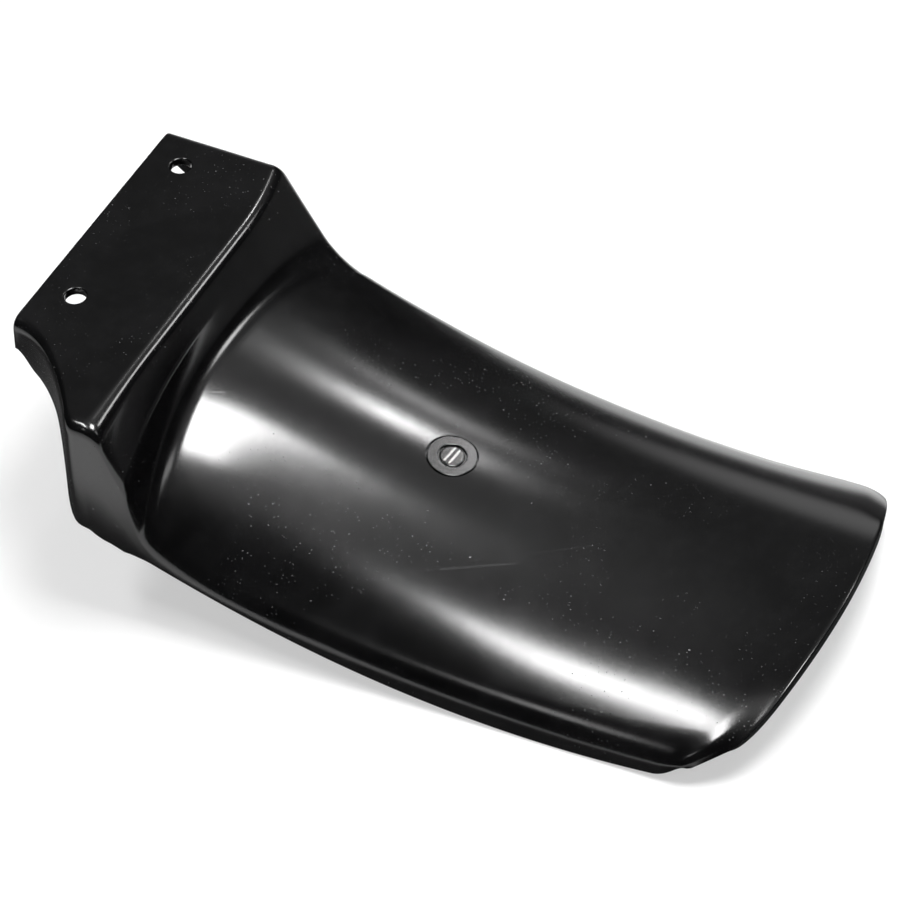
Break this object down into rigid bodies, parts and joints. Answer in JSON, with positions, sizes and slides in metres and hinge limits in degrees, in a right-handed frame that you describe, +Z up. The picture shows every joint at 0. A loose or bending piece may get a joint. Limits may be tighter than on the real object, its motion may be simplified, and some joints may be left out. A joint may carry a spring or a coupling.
{
  "type": "shock mud flap",
  "caption": "One-piece moulded mud flap: a flat plate with two screw holes, a step down, and a long arch with side skirts that shields a rear shock",
  "frame": {"origin": "midway between the two screw holes, on top of the mounting plate", "axes": "+X to the plate's wide, flared side, +Y from the screws to the free tip, +Z up out of the plate along the screws"},
  "size_m": [0.1342, 0.2689, 0.0723],
  "materials": {
    "black_plastic": "moulded gloss with fine scratches"
  },
  "bodies": {
    "root": {"mud_flap": "black_plastic"}
  },
  "joints": []
}
